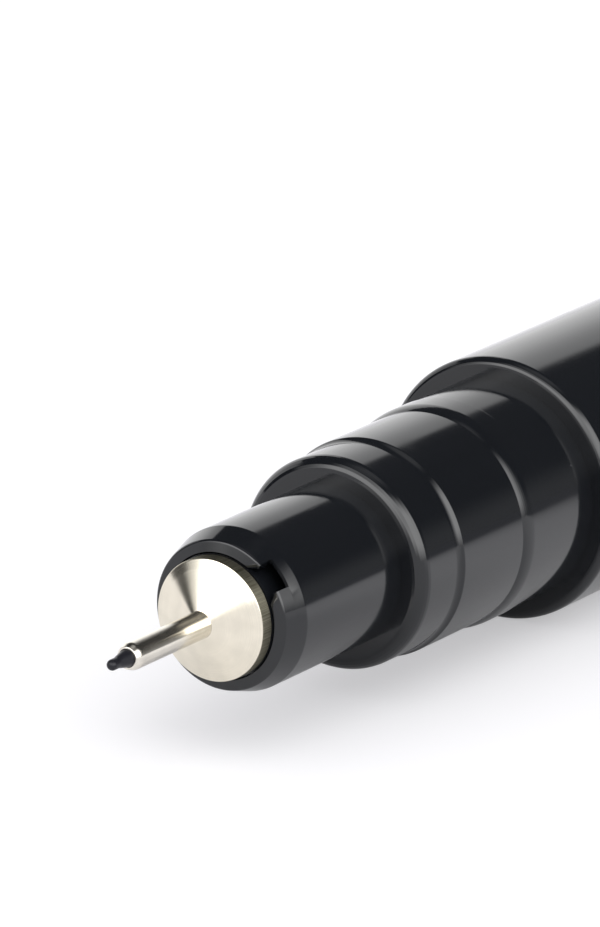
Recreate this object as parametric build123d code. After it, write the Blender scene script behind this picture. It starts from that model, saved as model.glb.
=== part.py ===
from build123d import *
import os
from math import acos, atan2, degrees, hypot

# A fineliner pen lying on its side, uncapped, with its cap pushed on the tail.
# Millimetres, +Z up. The pen's axis is X, the nib points to -X, and X = 0 is the barrel's middle.

# Shared fits
FIT = 0.02                    # radial room of pieces that are pushed together for good
CAP_CLEARANCE = 0.05          # radial room of the cap and its seal over what they slide on
CAP_SEAT_GAP = 0.1            # room left between the cap's mouth and the barrel's end face
OVERRUN = 1.0                 # how far a cutting shape runs past the surface that it cuts

# Barrel: a tube with a flat face at each end
BARREL_RADIUS = 5.5
BARREL_LENGTH = 88.2          # from end face to end face
SHOULDER_HEIGHT = 1.0         # from the land up to the barrel's outside
SHOULDER_EDGE = 0.45          # chamfer of each end face's outer edge
SPIGOT_STOP = 0.2             # step in the bore that stops a spigot
RIB_COUNT = 6
RIB_WIDTH = 0.7
RIB_END_GAP = 0.5             # room between a rib's end and the nearest spigot

# Front section: the moulded grip nose with the cap seat, pushed into the barrel
SECTION_SPIGOT_LENGTH = 10.0  # length inside the barrel
SEAT_LENGTH = 5.05            # the cap's seat, against the barrel's end face
SEAT_HEIGHT = 0.15            # from the land up to the seat
SEAT_RAMP = 0.55              # length of the seat's sloped front
BEAD_LENGTH = 1.7             # the seat's raised snap band, with its slope
BEAD_DROP = 0.03              # from the band down to the rest of the seat
LAND_LENGTH = 4.46
STEP_HEIGHT = 0.14            # from the drum up to the land
STEP_RAMP = 0.21              # length of that step's slope
DRUM_LENGTH = 2.58
DRUM_EDGE = 0.54
NECK_LENGTH = 6.56
CHAMFER_LENGTH = 1.15
CHAMFER_HEIGHT = 0.31
COLLAR_WALL = 0.755           # from the collar's bore to the neck's outside
SECTION_WALL = 0.72           # from the ink chamber to the land
CHAMBER_INSET = 1.2           # the chamber's front wall, behind the drum's face
SLOT_WIDTH = 1.48             # air slot beside the nib holder, open at the collar's face
SLOT_DEPTH = 1.45
SLOT_WALL = 0.15              # skin left between the slot and the neck's outside
SLOT_CORNER = 0.28
SLOT_ANGLE = 140.3            # degrees about +X from +Y
CHANNEL_WIDTH = 0.7           # air channel from the slot back to the chamber
CHANNEL_DEPTH = 0.5

# Nib holder: turned metal, a flat cone with a shank
HEAD_RADIUS = 2.465
HEAD_LENGTH = 0.7             # from the cone's rim back to the seat in the collar
HEAD_GAP = 0.1                # dark ring between the holder and the collar
HOLDER_PROUD = 0.6            # how far the rim stands ahead of the collar's face
CONE_HEIGHT = 0.7
CONE_SHOULDER_SHARE = 0.85    # where the cone's slope changes, as a share of the rim's radius
CONE_DROP_SHARE = 0.795       # cone height already lost there
SHANK_RADIUS = 1.8
SHANK_LENGTH = 6.9

# Nib tube and nib
TUBE_RADIUS = 0.5
TUBE_EXPOSED = 4.65
TUBE_SET_DEPTH = 3.5          # length of tube inside the holder
TUBE_LIP = 0.06               # wall taken off the tube's mouth
TUBE_NOSE_LENGTH = 0.2        # length over which it is taken off
NIB_RADIUS = 0.39
NIB_CLEARANCE = 0.02
NIB_EXPOSED = 1.35
NIB_TIP_RADIUS = 0.21
NIB_TIP_ROUND = 0.19
NIB_STEM_LENGTH = 0.55
NIB_FEED_LENGTH = 8.0         # length of nib inside the ink reservoir
NIB_POINT_LENGTH = 0.6

# Ink reservoir: a fibre rod in a film sleeve
RESERVOIR_CLEARANCE = 0.08
WRAP_THICKNESS = 0.1

# Tail plug: closes the barrel and carries the posted cap
TAIL_LENGTH = 12.0            # beyond the barrel's end face
TAIL_SPIGOT_LENGTH = 8.0
TAIL_WALL = 1.1
TAIL_EDGE = 0.6               # chamfer at the closed end

# Cap shell
CAP_LENGTH = 40.5
CAP_LIP_EDGE = 0.4            # chamfer outside the mouth
CAP_LEAD = 0.25               # chamfer inside the mouth
CAP_BORE_DEPTH = 13.0
CAP_END_WALL = 1.4
CAP_END_EDGE = 0.4            # chamfer round the end wall
SEAL_STEP = 0.35              # from the cap's bore down to the seal's seat
CORE_STEP = 0.9               # from the seal's seat down to the hollow behind it

# Inner seal: a soft cup that closes round the neck
SEAL_LENGTH = 16.5
SEAL_FLOOR = 1.0
SEAL_LEAD = 0.4

# Crown and clip at the cap's end
CROWN_INSET = 0.8
CROWN_HEIGHT = 1.8
CROWN_RIM = 0.7               # height of the button's side
CROWN_SLOPE = 1.9             # width of the slope round its flat top
STEM_RADIUS = 2.0
STEM_BARB = 0.3
STEM_BARB_LENGTH = 0.8
CLIP_THICKNESS = 0.45
CLIP_GAP = 1.05               # between the cap and the clip at its root
CLIP_TOUCH_GAP = 0.12         # between the cap and the clip at its foot
CLIP_REACH = 31.0             # from the cap's end to the foot
CLIP_BEND = 0.9
CLIP_FOOT_BEND = 5.0
CLIP_LEAD_LENGTH = 3.0
CLIP_LEAD_RISE = 0.75
CLIP_ROOT_WIDTH = 3.6
CLIP_TIP_WIDTH = 2.6
CLIP_TIP_CORNER = 1.0
CLIP_TABLE_GAP = 0.02         # the clip's corner just clears what the pen lies on

# Radii that follow from the sizes above
LAND_RADIUS = BARREL_RADIUS - SHOULDER_HEIGHT
MOUTH_RADIUS = LAND_RADIUS + FIT
BORE_RADIUS = LAND_RADIUS - SPIGOT_STOP
SEAT_RADIUS = LAND_RADIUS + SEAT_HEIGHT
DRUM_RADIUS = LAND_RADIUS - STEP_HEIGHT
CHAMBER_RADIUS = LAND_RADIUS - SECTION_WALL
RESERVOIR_RADIUS = CHAMBER_RADIUS - RESERVOIR_CLEARANCE
COLLAR_BORE_RADIUS = HEAD_RADIUS + HEAD_GAP
NECK_RADIUS = COLLAR_BORE_RADIUS + COLLAR_WALL
SHANK_BORE_RADIUS = SHANK_RADIUS + FIT
NIB_BORE_RADIUS = NIB_RADIUS + NIB_CLEARANCE
CAP_BORE_RADIUS = SEAT_RADIUS + CAP_CLEARANCE
SEAL_SEAT_RADIUS = CAP_BORE_RADIUS - SEAL_STEP
SEAL_BORE_RADIUS = NECK_RADIUS + CAP_CLEARANCE
CORE_RADIUS = SEAL_SEAT_RADIUS - CORE_STEP
CROWN_RADIUS = BARREL_RADIUS - CROWN_INSET

# Places along the axis, from the barrel forwards to the nib
BARREL_FRONT = -BARREL_LENGTH / 2
BARREL_BACK = BARREL_LENGTH / 2
SEAT_FRONT = BARREL_FRONT - SEAT_LENGTH
BEAD_BACK = SEAT_FRONT + BEAD_LENGTH
LAND_FRONT = SEAT_FRONT - LAND_LENGTH
DRUM_FRONT = LAND_FRONT - DRUM_LENGTH
NECK_FRONT = DRUM_FRONT - NECK_LENGTH
COLLAR_FACE = NECK_FRONT - CHAMFER_LENGTH
CONE_RIM = COLLAR_FACE - HOLDER_PROUD
CONE_TOP = CONE_RIM - CONE_HEIGHT
HEAD_BACK = CONE_RIM + HEAD_LENGTH
TUBE_MOUTH = CONE_TOP - TUBE_EXPOSED
TUBE_BACK = CONE_TOP + TUBE_SET_DEPTH
NIB_TIP = TUBE_MOUTH - NIB_EXPOSED
CHAMBER_FRONT = DRUM_FRONT + CHAMBER_INSET
NIB_BACK = CHAMBER_FRONT + NIB_FEED_LENGTH
SECTION_BACK = BARREL_FRONT + SECTION_SPIGOT_LENGTH

# Places along the axis, from the barrel back to the cap's crown
TAIL_FRONT = BARREL_BACK - TAIL_SPIGOT_LENGTH
TAIL_SEAT_BACK = BARREL_BACK + SEAT_LENGTH
TAIL_BACK = BARREL_BACK + TAIL_LENGTH
CAP_LIP = BARREL_BACK + CAP_SEAT_GAP
SEAL_MOUTH = CAP_LIP + CAP_BORE_DEPTH
SEAL_BACK = SEAL_MOUTH + SEAL_LENGTH
CAP_BACK = CAP_LIP + CAP_LENGTH
CLIP_BACK = CAP_BACK + CLIP_THICKNESS
CROWN_BACK = CLIP_BACK + CROWN_HEIGHT
WALL_FRONT = CAP_BACK - CAP_END_WALL


def turned(*corners):
    """Solid turned about the pen's axis from corners given as x, radius and, where rounded, a rounding."""
    points = [(corner[0], corner[1]) for corner in corners]
    rounds = [corner[2] if len(corner) > 2 else 0 for corner in corners]
    outline = FilletPolyline(*points, radius=rounds, close=True)
    return revolve(make_face(outline), axis=Axis.X)


def make_nib():
    """Plastic nib: a fine rounded stem that widens to a rod in the tube and ends pointed in the reservoir."""
    return turned(
        (NIB_TIP, 0),
        (NIB_TIP, NIB_TIP_RADIUS, NIB_TIP_ROUND),
        (NIB_TIP + NIB_STEM_LENGTH, NIB_TIP_RADIUS),
        (TUBE_MOUTH, NIB_RADIUS),
        (NIB_BACK - NIB_POINT_LENGTH, NIB_RADIUS),
        (NIB_BACK, NIB_TIP_RADIUS),
        (NIB_BACK, 0),
    )


def make_nib_tube():
    """Thin steel tube that guides the nib, drawn in a little at its mouth."""
    return turned(
        (TUBE_MOUTH, NIB_BORE_RADIUS),
        (TUBE_MOUTH, TUBE_RADIUS - TUBE_LIP),
        (TUBE_MOUTH + TUBE_NOSE_LENGTH, TUBE_RADIUS),
        (TUBE_BACK, TUBE_RADIUS),
        (TUBE_BACK, NIB_BORE_RADIUS),
    )


def make_nib_holder():
    """Turned metal holder: flat cone, plain rim, seat and shank, bored for the tube and the nib."""
    tube_bore = TUBE_RADIUS + FIT
    slope_change = CONE_RIM - CONE_HEIGHT * (1 - CONE_DROP_SHARE)
    shank_back = HEAD_BACK + SHANK_LENGTH
    return turned(
        (CONE_TOP, tube_bore),
        (slope_change, HEAD_RADIUS * CONE_SHOULDER_SHARE),
        (CONE_RIM, HEAD_RADIUS),
        (HEAD_BACK, HEAD_RADIUS),
        (HEAD_BACK, SHANK_RADIUS),
        (shank_back, SHANK_RADIUS),
        (shank_back, NIB_BORE_RADIUS),
        (TUBE_BACK, NIB_BORE_RADIUS),
        (TUBE_BACK, tube_bore),
    )


def make_front_section():
    """Moulded nose: collar, neck, drum and cap seat in steps, and the spigot in the barrel."""
    body = turned(
        (COLLAR_FACE, COLLAR_BORE_RADIUS),
        (COLLAR_FACE, NECK_RADIUS - CHAMFER_HEIGHT),
        (NECK_FRONT, NECK_RADIUS),
        (DRUM_FRONT, NECK_RADIUS),
        (DRUM_FRONT, DRUM_RADIUS, DRUM_EDGE),
        (LAND_FRONT, DRUM_RADIUS),
        (LAND_FRONT + STEP_RAMP, LAND_RADIUS),
        (SEAT_FRONT, LAND_RADIUS),
        (SEAT_FRONT + SEAT_RAMP, SEAT_RADIUS),
        (BEAD_BACK, SEAT_RADIUS),
        (BEAD_BACK + BEAD_DROP, SEAT_RADIUS - BEAD_DROP),
        (BARREL_FRONT, SEAT_RADIUS - BEAD_DROP),
        (BARREL_FRONT, LAND_RADIUS),
        (SECTION_BACK, LAND_RADIUS),
        (SECTION_BACK, CHAMBER_RADIUS),
        (CHAMBER_FRONT, CHAMBER_RADIUS),
        (CHAMBER_FRONT, SHANK_BORE_RADIUS),
        (HEAD_BACK, SHANK_BORE_RADIUS),
        (HEAD_BACK, COLLAR_BORE_RADIUS),
    )
    return body - air_slot() - air_channel()


def radial_cutter(front, back, width, reach, corner):
    """Bar from the axis out to a reach, turned to the air slot's angle, with rounded outer corners."""
    end = Plane(origin=(front, 0, 0), x_dir=(0, 1, 0), z_dir=(1, 0, 0))
    section = Pos(reach / 2, 0) * RectangleRounded(reach, width, corner)
    return Rot(X=SLOT_ANGLE) * extrude(end * section, amount=back - front)


def air_slot():
    """Slot through the collar's face that lets air in beside the holder."""
    reach = NECK_RADIUS - SLOT_WALL
    return radial_cutter(COLLAR_FACE - OVERRUN, COLLAR_FACE + SLOT_DEPTH, SLOT_WIDTH, reach, SLOT_CORNER)


def air_channel():
    """Narrow channel along the shank, from the slot back to the ink chamber."""
    reach = SHANK_BORE_RADIUS + CHANNEL_DEPTH
    return radial_cutter(HEAD_BACK, CHAMBER_FRONT + OVERRUN, CHANNEL_WIDTH, reach, CHANNEL_WIDTH / 3)


def make_barrel():
    """Outer tube with a flat face and a stepped bore at each end, and ribs for the reservoir."""
    tube = turned(
        (BARREL_FRONT, MOUTH_RADIUS),
        (BARREL_FRONT, BARREL_RADIUS - SHOULDER_EDGE),
        (BARREL_FRONT + SHOULDER_EDGE, BARREL_RADIUS),
        (BARREL_BACK - SHOULDER_EDGE, BARREL_RADIUS),
        (BARREL_BACK, BARREL_RADIUS - SHOULDER_EDGE),
        (BARREL_BACK, MOUTH_RADIUS),
        (TAIL_FRONT, MOUTH_RADIUS),
        (TAIL_FRONT, BORE_RADIUS),
        (SECTION_BACK, BORE_RADIUS),
        (SECTION_BACK, MOUTH_RADIUS),
    )
    return tube + barrel_ribs()


def barrel_ribs():
    """Ribs along the bore that keep the reservoir on the axis and leave air beside it."""
    length = TAIL_FRONT - SECTION_BACK - 2 * RIB_END_GAP
    middle = (TAIL_FRONT + SECTION_BACK) / 2
    inner = RESERVOIR_RADIUS + RESERVOIR_CLEARANCE
    outer = (BORE_RADIUS + BARREL_RADIUS) / 2
    rib = Pos(middle, (inner + outer) / 2, 0) * Box(length, outer - inner, RIB_WIDTH)
    return [Rot(X=360 * turn / RIB_COUNT) * rib for turn in range(RIB_COUNT)]


def make_reservoir_core():
    """Fibre rod that holds the ink, with a blind hole for the nib."""
    radius = RESERVOIR_RADIUS - WRAP_THICKNESS - FIT
    return turned(
        (CHAMBER_FRONT, NIB_BORE_RADIUS),
        (CHAMBER_FRONT, radius),
        (TAIL_FRONT, radius),
        (TAIL_FRONT, 0),
        (NIB_BACK, 0),
        (NIB_BACK, NIB_BORE_RADIUS),
    )


def make_reservoir_wrap():
    """Film sleeve round the fibre rod."""
    inside = RESERVOIR_RADIUS - WRAP_THICKNESS
    return turned(
        (CHAMBER_FRONT, inside),
        (CHAMBER_FRONT, RESERVOIR_RADIUS),
        (TAIL_FRONT, RESERVOIR_RADIUS),
        (TAIL_FRONT, inside),
    )


def make_tail_plug():
    """Closed plug in the barrel's end, with the same seat as the front, for the posted cap."""
    bore = LAND_RADIUS - TAIL_WALL
    return turned(
        (TAIL_FRONT, bore),
        (TAIL_FRONT, LAND_RADIUS),
        (BARREL_BACK, LAND_RADIUS),
        (BARREL_BACK, SEAT_RADIUS),
        (TAIL_SEAT_BACK - SEAT_RAMP, SEAT_RADIUS),
        (TAIL_SEAT_BACK, LAND_RADIUS),
        (TAIL_BACK - TAIL_EDGE, LAND_RADIUS),
        (TAIL_BACK, LAND_RADIUS - TAIL_EDGE),
        (TAIL_BACK, 0),
        (TAIL_BACK - TAIL_WALL, 0),
        (TAIL_BACK - TAIL_WALL, bore),
    )


def make_cap_shell():
    """Cap tube: chamfered mouth, sliding bore, seat for the inner seal, and an end wall for the crown."""
    stem_bore = STEM_RADIUS + FIT
    return turned(
        (CAP_LIP, CAP_BORE_RADIUS + CAP_LEAD),
        (CAP_LIP, BARREL_RADIUS - CAP_LIP_EDGE),
        (CAP_LIP + CAP_LIP_EDGE, BARREL_RADIUS),
        (CAP_BACK - CAP_END_EDGE, BARREL_RADIUS),
        (CAP_BACK, BARREL_RADIUS - CAP_END_EDGE),
        (CAP_BACK, stem_bore),
        (WALL_FRONT, stem_bore),
        (WALL_FRONT, CORE_RADIUS),
        (SEAL_BACK, CORE_RADIUS),
        (SEAL_BACK, SEAL_SEAT_RADIUS),
        (SEAL_MOUTH, SEAL_SEAT_RADIUS),
        (SEAL_MOUTH, CAP_BORE_RADIUS),
        (CAP_LIP + CAP_LEAD, CAP_BORE_RADIUS),
    )


def make_cap_inner_seal():
    """Soft cup seated in the cap, which closes round the neck when the pen is capped."""
    outside = SEAL_SEAT_RADIUS - FIT
    floor = SEAL_BACK - SEAL_FLOOR
    return turned(
        (SEAL_MOUTH, SEAL_BORE_RADIUS + SEAL_LEAD),
        (SEAL_MOUTH, outside),
        (SEAL_BACK, outside),
        (SEAL_BACK, 0),
        (floor, 0),
        (floor, SEAL_BORE_RADIUS),
        (SEAL_MOUTH + SEAL_LEAD, SEAL_BORE_RADIUS),
    )


def make_cap_crown():
    """Button with a sloped rim, whose stem goes through the clip and snaps in behind the end wall."""
    barb_front = WALL_FRONT - FIT - STEM_BARB_LENGTH
    return turned(
        (CLIP_BACK, STEM_RADIUS),
        (CLIP_BACK, CROWN_RADIUS),
        (CLIP_BACK + CROWN_RIM, CROWN_RADIUS),
        (CROWN_BACK, CROWN_RADIUS - CROWN_SLOPE),
        (CROWN_BACK, 0),
        (barb_front, 0),
        (barb_front, STEM_RADIUS),
        (WALL_FRONT - FIT, STEM_RADIUS + STEM_BARB),
        (WALL_FRONT - FIT, STEM_RADIUS),
    )


def clip_roll():
    """Turn of the clip from straight down that brings its root's corner to what the pen lies on."""
    reach = BARREL_RADIUS + CLIP_GAP + CLIP_THICKNESS
    half_width = CLIP_ROOT_WIDTH / 2
    return degrees(atan2(half_width, reach) + acos((BARREL_RADIUS - CLIP_TABLE_GAP) / hypot(reach, half_width)))


def make_cap_clip():
    """Stamped spring clip: a ring under the crown, a bent root, a long arm and a turned-up foot."""
    middle = CAP_BACK + CLIP_THICKNESS / 2
    root = BARREL_RADIUS + CLIP_GAP + CLIP_THICKNESS / 2
    foot = BARREL_RADIUS + CLIP_TOUCH_GAP + CLIP_THICKNESS / 2
    foot_x = CAP_BACK - CLIP_REACH
    tip_x = foot_x - CLIP_LEAD_LENGTH
    path = FilletPolyline(
        (middle, (STEM_RADIUS + CROWN_RADIUS) / 2),
        (middle, root),
        (foot_x, foot),
        (tip_x, foot + CLIP_LEAD_RISE),
        radius=[CLIP_BEND, CLIP_FOOT_BEND],
    )
    strip = extrude(trace(path, CLIP_THICKNESS), amount=CLIP_ROOT_WIDTH / 2, both=True)
    ring = turned(
        (CAP_BACK, STEM_RADIUS + FIT),
        (CAP_BACK, CROWN_RADIUS),
        (CLIP_BACK, CROWN_RADIUS),
        (CLIP_BACK, STEM_RADIUS + FIT),
    )
    arm = strip & clip_outline(tip_x)
    return Rot(X=270 - clip_roll()) * (arm + ring)


def clip_outline(tip_x):
    """Plan of the clip, tapered towards a rounded tip, as a block to trim the strip with."""
    back = CLIP_BACK + OVERRUN
    front = tip_x - CLIP_THICKNESS / 2
    plan = FilletPolyline(
        (back, -CLIP_ROOT_WIDTH / 2),
        (front, -CLIP_TIP_WIDTH / 2),
        (front, CLIP_TIP_WIDTH / 2),
        (back, CLIP_ROOT_WIDTH / 2),
        radius=[0, CLIP_TIP_CORNER, CLIP_TIP_CORNER, 0],
        close=True,
    )
    return extrude(Plane.XZ * make_face(plan), amount=2 * BARREL_RADIUS, both=True)


PIECES = {
    "nib": make_nib,
    "nib_tube": make_nib_tube,
    "nib_holder": make_nib_holder,
    "front_section": make_front_section,
    "barrel": make_barrel,
    "reservoir_core": make_reservoir_core,
    "reservoir_wrap": make_reservoir_wrap,
    "tail_plug": make_tail_plug,
    "cap_shell": make_cap_shell,
    "cap_inner_seal": make_cap_inner_seal,
    "cap_clip": make_cap_clip,
    "cap_crown": make_cap_crown,
}

os.makedirs("parts", exist_ok=True)
for name, make in PIECES.items():
    export_step(make(), f"parts/{name}.step")
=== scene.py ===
"""Dresses a fineliner pen that lies uncapped on a white table, with its cap pushed on the tail.

Sizes are in millimetres and are turned into metres where a mesh is drawn. The pen's axis is X, with the nib
towards -X, and angles about the axis run from +Y towards +Z.
"""
import logging
import math
from dataclasses import dataclass
from enum import Enum
from typing import NamedTuple

import bmesh
import bpy
from mathutils import Matrix, Vector


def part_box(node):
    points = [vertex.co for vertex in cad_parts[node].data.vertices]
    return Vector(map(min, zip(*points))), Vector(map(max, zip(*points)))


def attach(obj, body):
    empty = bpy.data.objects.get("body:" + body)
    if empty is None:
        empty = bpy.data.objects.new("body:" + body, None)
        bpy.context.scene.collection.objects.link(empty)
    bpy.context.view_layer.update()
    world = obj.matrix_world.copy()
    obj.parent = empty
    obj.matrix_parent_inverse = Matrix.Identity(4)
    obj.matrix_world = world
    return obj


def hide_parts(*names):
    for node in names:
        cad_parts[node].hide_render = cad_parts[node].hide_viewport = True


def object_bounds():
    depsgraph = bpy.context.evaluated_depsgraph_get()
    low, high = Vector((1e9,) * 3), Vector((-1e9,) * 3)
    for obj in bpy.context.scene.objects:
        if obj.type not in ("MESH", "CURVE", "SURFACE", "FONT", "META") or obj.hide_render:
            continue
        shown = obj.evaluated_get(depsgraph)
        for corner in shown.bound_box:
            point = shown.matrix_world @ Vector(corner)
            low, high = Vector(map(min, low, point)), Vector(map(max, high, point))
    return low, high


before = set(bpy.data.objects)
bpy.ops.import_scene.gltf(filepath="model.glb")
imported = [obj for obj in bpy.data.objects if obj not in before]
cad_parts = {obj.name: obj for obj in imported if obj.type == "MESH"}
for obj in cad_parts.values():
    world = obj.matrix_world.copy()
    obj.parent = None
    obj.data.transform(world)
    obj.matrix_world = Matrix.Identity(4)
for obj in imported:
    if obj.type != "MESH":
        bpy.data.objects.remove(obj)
CAD_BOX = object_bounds()

LOG = logging.getLogger("fineliner")
MM = 0.001
TURN_STEPS = 120              # columns round a turned piece
ROUND_STEPS = 6               # facets across a rounding
SUPPORT = 0.02                # mm, how close a holding loop stands to a rounding
SHORT_RUN = 4                 # runs shorter than this many such distances get no loops
WELD = 1e-7                   # metres, points closer than this are one
TINY = 1e-3                   # mm, room for rounding errors where places are compared
SHARP = math.radians(28)      # edges that turn more than this stay crisp
ORIGIN = (0, 0, 0)
OUTLINE_AXIS = (1, 0, 0)
DOWN = math.radians(270)      # angle about the axis at which the table lies
TURNING_MAP = "turning"

Item = bpy.types.Object
Node = bpy.types.Node
Tree = bpy.types.NodeTree
Socket = bpy.types.NodeSocket
Sockets = dict[str, Socket]
Mesh = bmesh.types.BMesh
Colour = tuple[float, float, float]
Pair = tuple[float, float]
Place = tuple[float, float, float]


class Body(Enum):
    """The two bodies that the pieces ride on."""

    PEN = "pen"
    CAP = "cap"


# Modelling helpers


class Corner(NamedTuple):
    """A corner of a turned outline: place along the axis, radius and rounding, all in millimetres."""

    x: float
    r: float
    rounding: float = 0.0


@dataclass(frozen=True)
class Extent:
    """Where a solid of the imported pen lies: its ends along the axis and its radius, in millimetres."""

    front: float
    back: float
    radius: float

    @classmethod
    def of(cls, node: str) -> "Extent":
        """Measures the solid of this name."""
        low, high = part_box(node)
        return cls(low.x / MM, high.x / MM, high.y / MM)


def bevel(bm: Mesh, geom: list, offset: float, affect: str = "VERTICES", segments: int = ROUND_STEPS) -> None:
    """Rounds corners, or EDGES, over an offset in metres to each side."""
    bmesh.ops.bevel(
        bm, geom=geom, offset=offset, offset_type="OFFSET", segments=segments, profile=0.5, affect=affect,
        clamp_overlap=True, material=-1,
    )


def round_corner(bm: Mesh, vert: bmesh.types.BMVert, radius: float) -> None:
    """Rounds one corner of a wire outline by a radius in metres."""
    before, after = ((edge.other_vert(vert).co - vert.co).normalized() for edge in vert.link_edges)
    turn = math.pi - before.angle(after)
    bevel(bm, [vert], radius * math.tan(turn / 2))


def hold_runs(bm: Mesh) -> None:
    """Adds a point near each end of an outline's straight runs, so that shading stays in the roundings."""
    near = SUPPORT * MM
    for edge in bm.edges[:]:
        if edge.calc_length() < SHORT_RUN * near:
            continue
        start, end = edge.verts
        inner = bmesh.utils.edge_split(edge, start, near / edge.calc_length())[1]
        rest = next(link for link in inner.link_edges if end in link.verts)
        bmesh.utils.edge_split(rest, end, near / rest.calc_length())


def drawn(corners: list[Corner], closed: bool, aside: float = 0.0) -> Mesh:
    """Draws an outline as a wire with rounded corners.

    Args:
        corners: the outline, in a plane along the axis and +Y.
        closed: whether the last corner joins the first.
        aside: where that plane lies along +Z, in millimetres.

    Returns:
        The wire, in metres.
    """
    bm = bmesh.new()
    verts = [bm.verts.new((corner.x * MM, corner.r * MM, aside * MM)) for corner in corners]
    for pair in zip(verts, verts[1:] + verts[: int(closed)]):
        bm.edges.new(pair)
    for vert, corner in zip(verts, corners):
        if corner.rounding > 0:
            round_corner(bm, vert, corner.rounding * MM)
    hold_runs(bm)
    return bm


def turned(corners: list[Corner], closed: bool = True) -> Mesh:
    """Turns an outline about the pen's axis.

    Args:
        corners: outline in the plane of the axis and +Y.
        closed: whether the last corner joins the first, as on a ring; an open outline ends on the axis.

    Returns:
        The turned mesh, in metres.
    """
    bm = drawn(corners, closed)
    bmesh.ops.spin(
        bm, geom=bm.verts[:] + bm.edges[:], cent=ORIGIN, axis=OUTLINE_AXIS, dvec=ORIGIN, angle=2 * math.pi,
        steps=TURN_STEPS, use_merge=True, use_duplicate=False,
    )
    weld(bm)
    return bm


def weld(bm: Mesh) -> None:
    """Merges doubled points and turns all faces outwards."""
    bmesh.ops.remove_doubles(bm, verts=bm.verts, dist=WELD)
    bmesh.ops.dissolve_degenerate(bm, edges=bm.edges, dist=WELD)
    bmesh.ops.recalc_face_normals(bm, faces=bm.faces)


def wrap_uv(bm: Mesh) -> None:
    """Gives a turned mesh a map whose first direction runs round the axis and whose second runs along it."""
    layer = bm.loops.layers.uv.new(TURNING_MAP)
    for face in bm.faces:
        middle = face.calc_center_median()
        about = math.atan2(middle.z, middle.y)
        for loop in face.loops:
            place = loop.vert.co
            turn = math.atan2(place.z, place.y) - about
            turn = math.atan2(math.sin(turn), math.cos(turn))
            run = place.x / MM - math.hypot(place.y, place.z) / MM
            loop[layer].uv = ((about + turn) / (2 * math.pi), run)


def make_object(name: str, bm: Mesh) -> Item:
    """Turns a finished mesh into an object at the origin, smooth but for its crisp edges.

    Args:
        name: the piece's name.
        bm: its mesh, which is freed.

    Returns:
        The linked object.
    """
    mesh = bpy.data.meshes.new(name)
    bm.to_mesh(mesh)
    bm.free()
    mesh.shade_smooth()
    mesh.set_sharp_from_angle(angle=SHARP)
    piece = bpy.data.objects.new(name, mesh)
    bpy.context.scene.collection.objects.link(piece)
    return piece


# Node helpers

# Scales count to the metre; a range holds the values of a pattern between which its effect sets in
GRAIN_SHARE = 0.25
FLOW_STRETCH, HAIR_STRETCH, LINE_STRETCH = 0.25, 0.06, 0.015
HAIR_SCALE, HAIR_RANGE, HAIR_ROUGHNESS = 9000.0, (0.68, 0.78), 0.05
SMUDGE_RANGE = (0.45, 0.75)
SPECK_SCALE, SPECK_RANGE = 900.0, (0.02, 0.06)
SPARSE_SCALE, SPARSE_RANGE = 260.0, (0.6, 0.66)
RING_PATCHES, LINE_PATCHES = 1500.0, 700.0
SHINE_RANGE = (0.1, 0.45)


class Graph:
    """A node tree with short calls to add, feed and join nodes."""

    def __init__(self, tree: Tree) -> None:
        """Keeps the tree that nodes are added to."""
        self.tree = tree

    def feed(self, socket: Socket, value: object) -> None:
        """Joins another socket to this one, or sets its plain value."""
        if isinstance(value, Socket):
            self.tree.links.new(value, socket)
        else:
            socket.default_value = value

    def add(self, kind: str, inputs: dict | None = None, **settings: object) -> Node:
        """Adds a node.

        Args:
            kind: the node's type.
            inputs: values or sockets for its inputs, by name or number.
            settings: the node's own options.

        Returns:
            The new node.
        """
        node = self.tree.nodes.new(kind)
        for name, value in settings.items():
            setattr(node, name, value)
        for name, value in (inputs or {}).items():
            self.feed(node.inputs[name], value)
        return node

    def math(self, operation: str, first: object, second: object = 0.0, third: object = 0.0) -> Socket:
        """Adds a sum of up to three values or sockets and returns its result."""
        return self.add("ShaderNodeMath", {0: first, 1: second, 2: third}, operation=operation).outputs[0]

    def blend(self, share: object, first: object, second: object) -> Socket:
        """Adds a mix of two colours and returns its result."""
        return self.add("ShaderNodeMix", {0: share, 6: first, 7: second}, data_type="RGBA").outputs[2]

    def spread(self, value: Socket, low: object, high: object, start: object, end: object) -> Socket:
        """Adds a smooth map of a value from one range to another and returns its result."""
        ends = {"From Min": start, "From Max": end, "To Min": low, "To Max": high}
        kind = "ShaderNodeMapRange"
        return self.add(kind, {"Value": value, **ends}, interpolation_type="SMOOTHSTEP").outputs[0]

    def step(self, value: Socket, low: float, high: float, middle: object, soft: object) -> Socket:
        """Adds a smooth change about a middle, as wide to each side as it is soft, and returns its result."""
        start, end = self.math("SUBTRACT", middle, soft), self.math("ADD", middle, soft)
        return self.spread(value, low, high, start, end)

    def noise(self, place: Socket, scale: object, detail: float) -> Socket:
        """Adds a soft random pattern and returns its value."""
        inputs = {"Vector": place, "Scale": scale, "Detail": detail}
        return self.add("ShaderNodeTexNoise", inputs).outputs[0]

    def stretch(self, place: Socket, along: float) -> Socket:
        """Scales a place along the pen's axis only, which draws a pattern out into lines."""
        return self.add("ShaderNodeMapping", {"Vector": place, "Scale": (along, 1.0, 1.0)}).outputs[0]

    def split(self, place: Socket) -> list[Socket]:
        """Returns the three parts of a place."""
        return list(self.add("ShaderNodeSeparateXYZ", {0: place}).outputs)


class Effect(Enum):
    """Shared effects, each with the names of its inputs after the place."""

    MOULD_SKIN = ("Grain", "Flow")
    HANDLING = ("Roughness", "Smudge", "Scale", "Dust")
    TOOL_RINGS = ("Rings",)
    DRAWN_LINES = ("Lines",)
    LIGHT_PANEL = ("Azimuth", "Half Width", "Low", "High", "Edge", "Fade")


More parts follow.
